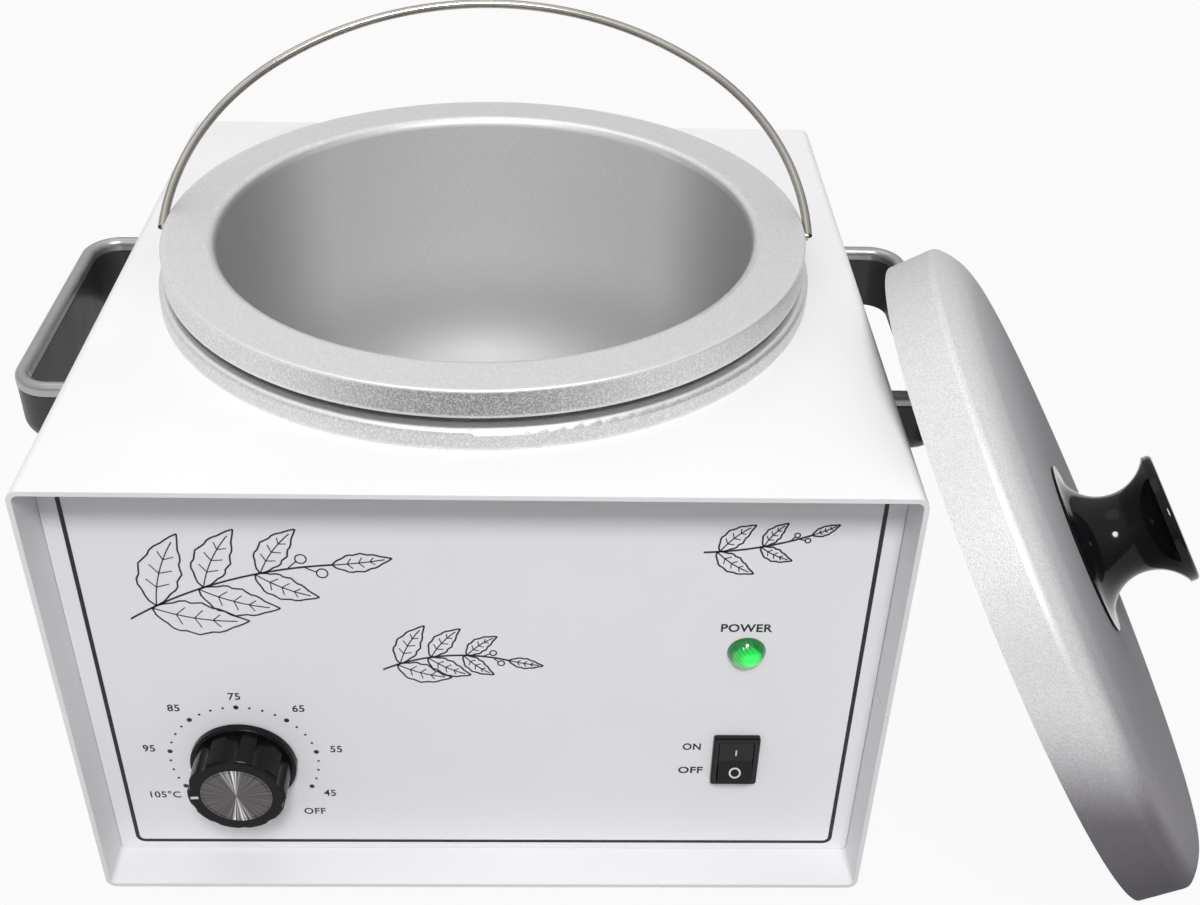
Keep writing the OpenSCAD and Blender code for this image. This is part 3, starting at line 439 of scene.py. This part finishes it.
def on_panel(shape, verts, x, z):
    """Stands flat vertices, drawn in X and Y, on the panel."""
    stand = Matrix.Translation((x, PANEL_Y, z)) @ UPRIGHT
    bmesh.ops.transform(shape, matrix=stand, verts=verts)


def thicken(shape, faces, way=(0, 0, INK_T)):
    """Gives flat faces the ink's thickness, outwards from the panel."""
    grown = bmesh.ops.extrude_face_region(shape, geom=faces)
    verts = [part for part in grown["geom"] if isinstance(part, bmesh.types.BMVert)]
    bmesh.ops.translate(shape, vec=way, verts=verts)


def disc(shape, x, z, radius):
    before = set(shape.verts)
    made = bmesh.ops.create_circle(shape, cap_ends=True, radius=radius, segments=20)
    thicken(shape, faces_of(made["verts"]))
    on_panel(shape, since(shape, before), x, z)


CAPITAL_SHARE = 0.72


def word(shape, text, x, z, height, bold, width=None):
    """Sets a word centred on x, z with capitals of that height, its strokes made bolder."""
    curve = bpy.data.curves.new("word", "FONT")
    curve.body = text
    curve.align_x = "CENTER"
    curve.align_y = "CENTER"
    curve.size = height / CAPITAL_SHARE
    curve.offset = bold
    curve.space_character = 1.05
    curve.resolution_u = 4
    letter = bpy.data.objects.new("word", curve)
    bpy.context.scene.collection.objects.link(letter)
    bpy.context.view_layer.update()
    graph = bpy.context.evaluated_depsgraph_get()
    flat = bpy.data.meshes.new_from_object(letter.evaluated_get(graph))
    bpy.data.objects.remove(letter)
    bpy.data.curves.remove(curve)
    before = set(shape.verts)
    shape.from_mesh(flat)
    bpy.data.meshes.remove(flat)
    verts = since(shape, before)
    if width:
        span = max(v.co.x for v in verts) - min(v.co.x for v in verts)
        bmesh.ops.scale(shape, vec=(width / span, 1, 1), verts=verts)
    thicken(shape, faces_of(verts))
    on_panel(shape, since(shape, before), x, z)


# ---- lettering -----------------------------------------------------------------------

LETTER_H = mm(2.9)
NUMBER_BOLD, WORD_BOLD = mm(0.05), mm(0.09)
DIAL_RING = mm(23.8)
DOT_R, SMALL_DOT_R = mm(0.85), mm(0.42)
DEGREES = {45: -30, 55: 10, 65: 50, 75: 90, 85: 130, 95: 170, 105: 210}


def dial_scale(shape):
    """Dots round the knob, three small ones between two large ones, and their numbers."""
    def round_dial(angle, reach):
        turn = radians(angle)
        return DIAL.x + reach * cos(turn), DIAL.z + reach * sin(turn)

    last = max(DEGREES)
    for number, angle in DEGREES.items():
        disc(shape, *round_dial(angle, DIAL_RING), DOT_R)
        if number != last:
            for step in (10, 20, 30):
                disc(shape, *round_dial(angle + step, DIAL_RING), SMALL_DOT_R)
    for number, angle in DEGREES.items():
        text = "%d°C" % number if number == last else str(number)
        reach = {75: mm(28.4), last: mm(32.5)}.get(number, mm(30.4))
        word(shape, text, *round_dial(angle, reach), LETTER_H, NUMBER_BOLD)
    word(shape, "OFF", DIAL.x + mm(20.5), DIAL.z - mm(24), LETTER_H, NUMBER_BOLD)


def switch_marks(shape):
    word(shape, "ON", mm(67.5), UNDERSIDE + mm(50.8), LETTER_H, WORD_BOLD, mm(5.9))
    word(shape, "OFF", mm(67.6), UNDERSIDE + mm(40.0), LETTER_H, WORD_BOLD, mm(8.0))
    word(shape, "POWER", mm(80.9), UNDERSIDE + mm(101.7), mm(3.1), WORD_BOLD, mm(15.7))


# ---- leafy sprigs, drawn in fine lines on the panel ----------------------------------

LINE_W = mm(0.54)
TWIG_STEPS = 40


def across(line, i):
    """The unit vector square to a line at its point i, to the left of its way."""
    ahead = (line[min(i + 1, len(line) - 1)] - line[max(i - 1, 0)]).normalized()
    return Vector((-ahead.y, ahead.x))


def ribbon(shape, pairs):
    """Quads from each pair of vertices to the next."""
    return [shape.faces.new((a[0], a[1], b[1], b[0])) for a, b in zip(pairs, pairs[1:])]


def stroke(shape, line, width=LINE_W):
    """Inks a line given by points in X and Z on the panel."""
    before = set(shape.verts)
    pairs = []
    for i, point in enumerate(line):
        half = across(line, i) * width / 2
        pairs.append([shape.verts.new((p.x, p.y, 0)) for p in (point + half, point - half)])
    thicken(shape, ribbon(shape, pairs))
    on_panel(shape, since(shape, before), 0, 0)


def bent(start, angle, length, bend, steps):
    """Points along a line that leaves start at an angle and turns by bend in all."""
    points = [Vector(start)]
    for step in range(steps):
        turn = angle + bend * (step + 0.5) / steps
        points.append(points[-1] + Vector((cos(turn), sin(turn))) * length / steps)
    return points


def leaf(shape, start, angle, length, wide, bend):
    """A leaf in outline: two edges that swell and meet at the tip, a midrib and short veins."""
    last = 16
    rib = bent(start, angle, length, bend, last)
    for side in (1, -1):
        edge = []
        for i, point in enumerate(rib):
            share = i / last
            swell = sin(pi * share ** 0.8) * (1 + 0.08 * sin(9 * pi * share))
            edge.append(point + across(rib, i) * side * wide * swell / 2)
        stroke(shape, edge)
        for i in range(4, last - 3, 3):
            stroke(shape, [rib[i], rib[i].lerp(edge[i + 2], 0.62)], LINE_W * 0.6)
    stroke(shape, rib[:-2], LINE_W * 0.7)


def berry(shape, centre, radius):
    ring = [centre + Vector((cos(i * pi / 8), sin(i * pi / 8))) * radius for i in range(17)]
    stroke(shape, ring, LINE_W * 0.8)


def sprig(shape, foot, angle, length, bend, pairs):
    """A bowed twig: leaves in pairs that shrink towards the tip, two berries and an end leaf."""
    twig = bent(foot, angle, length, bend, TWIG_STEPS)
    stroke(shape, twig, LINE_W * 1.2)
    for pair in range(pairs):
        at = round((0.12 + 0.8 * pair / pairs) * TWIG_STEPS)
        heading = angle + bend * at / TWIG_STEPS
        size = length * (0.44 - 0.2 * pair / pairs)
        for side in (1, -1):
            base = twig[at + (side > 0)]
            leaf(shape, base, heading + side * 0.95, size, size * 0.42, -side * 0.5)
    berry_r = length * 0.025
    for at, side in ((32, 1), (35, -1)):
        heading = angle + bend * at / TWIG_STEPS
        stalk = bent(twig[at], heading + side * 0.75, length * 0.06, -side * 0.3, 6)
        stroke(shape, stalk, LINE_W * 0.7)
        berry(shape, stalk[-1] + (stalk[-1] - stalk[-2]).normalized() * berry_r, berry_r)
    leaf(shape, twig[-1], angle + bend, length * 0.27, length * 0.1, 0.15)


def sprigs(shape):
    sprig(shape, (mm(-104), UNDERSIDE + mm(104)), radians(34), mm(66), radians(-30), 3)
    sprig(shape, (mm(-30), UNDERSIDE + mm(84)), radians(28), mm(40), radians(-44), 3)
    sprig(shape, (mm(66), UNDERSIDE + mm(131)), radians(2), mm(32), radians(20), 2)


# ---- marks on the rocker and the dial knob -------------------------------------------

ROCKER_TILT = radians(9)
ROCKER_PIVOT = mm(1)
ROCKER_SLOPE = radians(10.5)
ROCKER_VALLEY = mm(1.72)
POINTER_ANGLE = radians(183)
POINTER_W, POINTER_T = mm(1.1), mm(0.08)


def on_rocker(shape, verts, height):
    """Lays flat vertices on a half of the rocker: height is how far up its face they go."""
    slope = ROCKER_SLOPE if height > 0 else -ROCKER_SLOPE
    face = ROCKER_VALLEY + abs(height) * sin(ROCKER_SLOPE)
    lay = Matrix.Translation((0, height, face)) @ Matrix.Rotation(slope, 4, "X")
    pivot = Matrix.Translation((0, 0, -ROCKER_PIVOT))
    tilt = pivot @ Matrix.Rotation(-ROCKER_TILT, 4, "X") @ pivot.inverted()
    stand = Matrix.Translation((SWITCH.x, PANEL_Y, SWITCH.z)) @ UPRIGHT
    bmesh.ops.transform(shape, matrix=stand @ tilt @ lay, verts=verts)


def flat_ring(shape, outer, inner):
    """A flat ring round the origin, with the ink's thickness."""
    rims = []
    for radius in (outer, inner):
        made = bmesh.ops.create_circle(shape, radius=radius, segments=32)
        rims += list({edge for vert in made["verts"] for edge in vert.link_edges})
    before = set(shape.faces)
    bmesh.ops.bridge_loops(shape, edges=rims)
    thicken(shape, [face for face in shape.faces if face not in before])


def rocker_marks(shape):
    """The bar on the upper half and the ring on the lower one."""
    bar = bmesh.ops.create_grid(shape, x_segments=1, y_segments=1, size=mm(1.3))["verts"]
    bmesh.ops.scale(shape, vec=(0.19, 1, 1), verts=bar)
    thicken(shape, faces_of(bar))
    upper = set(shape.verts)
    on_rocker(shape, list(upper), mm(3.6))
    flat_ring(shape, mm(1.95), mm(1.4))
    on_rocker(shape, since(shape, upper), mm(-4.3))


def pointer_mark(shape):
    """White stripe across the knob's front rim, over its rounded edge and down its side."""
    profile = [(11.9, 0), (14.3, 0), (15.0, 0.35), (15.55, 1.3), (15.65, 3.4)]
    lift = mm(0.05)
    out = Vector((cos(POINTER_ANGLE), 0, sin(POINTER_ANGLE)))
    half = Vector((-out.z, 0, out.x)) * POINTER_W / 2
    pairs = []
    for radius, back in profile:
        spot = Vector((DIAL.x, KNOB_FRONT_Y + mm(back) - lift, DIAL.z)) + out * (mm(radius) + lift)
        pairs.append([shape.verts.new(spot + half), shape.verts.new(spot - half)])
    ribbon(shape, pairs)
    bmesh.ops.solidify(shape, geom=list(shape.faces), thickness=POINTER_T)


# ---- the panel's border --------------------------------------------------------------

BORDER_HALF_W, BORDER_LINE, BORDER_CORNER = mm(118), mm(1.3), mm(3)
BORDER_LOW, BORDER_HIGH = UNDERSIDE + mm(4.5), UNDERSIDE + mm(157.6)


def border_line(shape):
    """Thin line round the panel, close to its folded edges, with small round corners."""
    right = BORDER_HALF_W - BORDER_CORNER
    low, high = BORDER_LOW + BORDER_CORNER, BORDER_HIGH - BORDER_CORNER
    corners = ((right, low, -90), (right, high, 0), (-right, high, 90), (-right, low, 180))
    loops = []
    for reach in (BORDER_CORNER, BORDER_CORNER - BORDER_LINE):
        ring = []
        for x, z, start in corners:
            for step in range(7):
                turn = radians(start + step * 15)
                spot = (x + reach * cos(turn), PANEL_Y, z + reach * sin(turn))
                ring.append(shape.verts.new(spot))
        loops += [shape.edges.new((ring[i - 1], ring[i])) for i in range(len(ring))]
    bmesh.ops.bridge_loops(shape, edges=loops)
    thicken(shape, list(shape.faces), (0, -INK_T, 0))


def print_marks():
    ink = ink_look("black_ink", (0.006, 0.006, 0.007), (0.016, 0.016, 0.018))
    white = ink_look("white_ink", (0.72, 0.72, 0.72), (0.6, 0.6, 0.6))
    print_piece("panel_border", border_line, ink)
    print_piece("dial_scale", dial_scale, ink)
    print_piece("switch_words", switch_marks, ink)
    print_piece("panel_sprigs", sprigs, ink)
    print_piece("rocker_marks", rocker_marks, white, "rocker_body")
    print_piece("knob_pointer", pointer_mark, white, "dial")


# ---- studio --------------------------------------------------------------------------

FLOOR_HALF = 60
FLOOR_Z = mm(-0.3)
BACKDROP = 0.95


def make_floor():
    """Pale floor that the camera, mirrors and glass see as a white backdrop."""
    mesh = bpy.data.meshes.new("floor")
    shape = bmesh.new()
    bmesh.ops.create_grid(shape, x_segments=1, y_segments=1, size=FLOOR_HALF)
    shape.to_mesh(mesh)
    shape.free()
    floor = bpy.data.objects.new("floor", mesh)
    floor.location.z = FLOOR_Z
    bpy.context.scene.collection.objects.link(floor)
    look = Look("floor", Roughness=0.9, Base_Color=(0.3, 0.3, 0.305), Specular_IOR_Level=0.1)
    tree = look.tree
    rays = tree.nodes.new("ShaderNodeLightPath")
    glow = tree.nodes.new("ShaderNodeEmission")
    mix = tree.nodes.new("ShaderNodeMixShader")
    kinds = ("Camera", "Glossy", "Transmission")
    seen = sum(Value(look, rays.outputs["Is %s Ray" % kind]) for kind in kinds) * 0.94
    tree.links.new(seen.socket, mix.inputs[0])
    tree.links.new(look.shader.outputs[0], mix.inputs[1])
    tree.links.new(glow.outputs[0], mix.inputs[2])
    tree.links.new(mix.outputs[0], tree.nodes["Material Output"].inputs["Surface"])
    mesh.materials.append(look.material)


def make_world():
    """White surroundings, brightest overhead on the left, that the camera sees evenly white."""
    world = bpy.data.worlds.new("studio")
    world.use_nodes = True
    nodes, links = world.node_tree.nodes, world.node_tree.links
    nodes["Background"].inputs["Color"].default_value = (1, 1, 1, 1)
    way = nodes.new("ShaderNodeTexCoord")
    lean = nodes.new("ShaderNodeVectorMath")
    lean.operation = "DOT_PRODUCT"
    lean.inputs[1].default_value = Vector((-0.2, 0.1, 0.95)).normalized()
    level = nodes.new("ShaderNodeMapRange")
    level.interpolation_type = "SMOOTHSTEP"
    for socket, value in zip(level.inputs[1:5], (-0.4, 0.95, 0.08, 0.74)):
        socket.default_value = value
    shown = nodes.new("ShaderNodeMix")
    shown.inputs[3].default_value = BACKDROP
    links.new(way.outputs["Generated"], lean.inputs[0])
    links.new(lean.outputs["Value"], level.inputs[0])
    links.new(nodes.new("ShaderNodeLightPath").outputs["Is Camera Ray"], shown.inputs[0])
    links.new(level.outputs[0], shown.inputs[2])
    links.new(shown.outputs[0], nodes["Background"].inputs["Strength"])
    bpy.context.scene.world = world


def soft_box(name, place, aim, size, power):
    data = bpy.data.lights.new(name, "AREA")
    data.shape = "DISK"
    data.size = size
    data.energy = power
    lamp = bpy.data.objects.new(name, data)
    lamp.location = place
    lamp.rotation_euler = (Vector(aim) - Vector(place)).to_track_quat("-Z", "Y").to_euler()
    bpy.context.scene.collection.objects.link(lamp)


make_camera()
dress_frame()
print_marks()
bpy.context.scene.view_settings.view_transform = "Standard"
make_floor()
make_world()
soft_box("key", (0.12, -1.05, 1.38), (0, -0.1, 0.12), size=0.36, power=17)
soft_box("top", (-0.3, 0.3, 1.5), (0, 0, 0.1), size=0.9, power=1.5)
